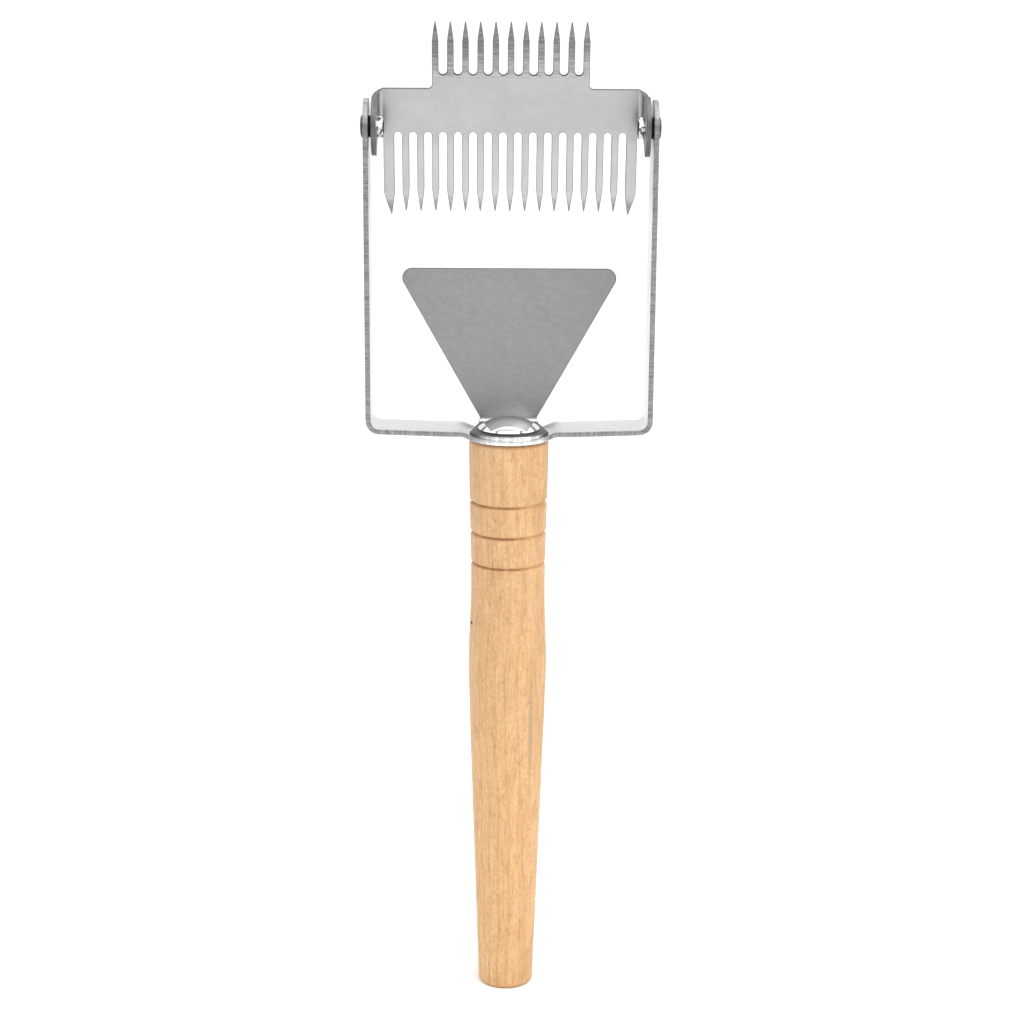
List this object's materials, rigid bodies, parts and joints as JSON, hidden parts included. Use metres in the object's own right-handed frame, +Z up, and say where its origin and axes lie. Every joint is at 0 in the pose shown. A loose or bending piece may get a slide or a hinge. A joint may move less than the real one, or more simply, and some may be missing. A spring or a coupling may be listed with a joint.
{
  "type": "honey uncapping fork",
  "caption": "Hand tool with a turned wooden handle, a bent steel strap frame, a fixed scraper blade and a double-sided comb head that turns between the frame's arms.",
  "frame": {"origin": "centre of the flat butt at the free end of the handle", "axes": "+Z runs up the handle towards the comb head, X runs across the head along the pivot axis, and -Y is the side that the comb head leans towards"},
  "size_m": [0.0862, 0.0252, 0.2947],
  "materials": {
    "handle_wood": "turned and sanded, thin clear finish",
    "strap_steel": "rolled strip with sheared edges",
    "blade_steel": "brushed across",
    "comb_steel": "satin, ground points",
    "polished_steel": "polished",
    "washer_fibre": "matte black"
  },
  "bodies": {
    "frame": {"handle": "handle_wood", "frame_strap": "strap_steel", "scraper_blade": "blade_steel", "handle_bolt": "polished_steel", "pivot_screw_left": "polished_steel", "pivot_screw_right": "polished_steel", "friction_washer_left": "washer_fibre", "friction_washer_right": "washer_fibre", "pivot_nut_left": "polished_steel", "pivot_nut_right": "polished_steel"},
    "comb": {"comb_head": "comb_steel"}
  },
  "joints": [
    {"name": "comb_turn", "type": "hinge", "parent": "frame", "child": "comb", "pos_m": [0, 0, 0.2654], "axis": [1, 0, 0], "continuous": true}
  ]
}
